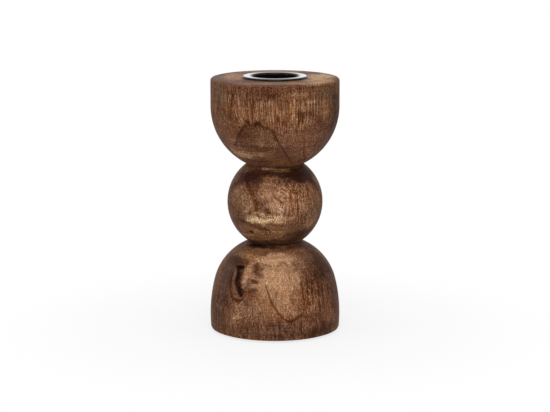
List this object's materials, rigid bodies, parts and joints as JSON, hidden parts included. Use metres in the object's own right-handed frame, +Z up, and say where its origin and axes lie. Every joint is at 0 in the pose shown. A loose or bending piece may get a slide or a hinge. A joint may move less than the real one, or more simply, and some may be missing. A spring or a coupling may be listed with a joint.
{
  "type": "candle holder",
  "caption": "Turned wooden holder for a taper candle: a bowl over a ball over a domed foot, with a black metal candle cup set into its flat top and felt underneath.",
  "frame": {"origin": "centre of the underside, on the surface that the holder stands on", "axes": "+Z up along the turning axis; -Y is the side that the picture shows"},
  "size_m": [0.064, 0.064, 0.1263],
  "materials": {
    "stained_wood": "satin",
    "black_enamel": "gloss",
    "zinc_plated_steel": "satin",
    "black_felt": "matte"
  },
  "bodies": {
    "root": {"turned_body": "stained_wood", "candle_cup": "black_enamel", "cup_screw": "zinc_plated_steel", "base_felt": "black_felt"}
  },
  "joints": []
}
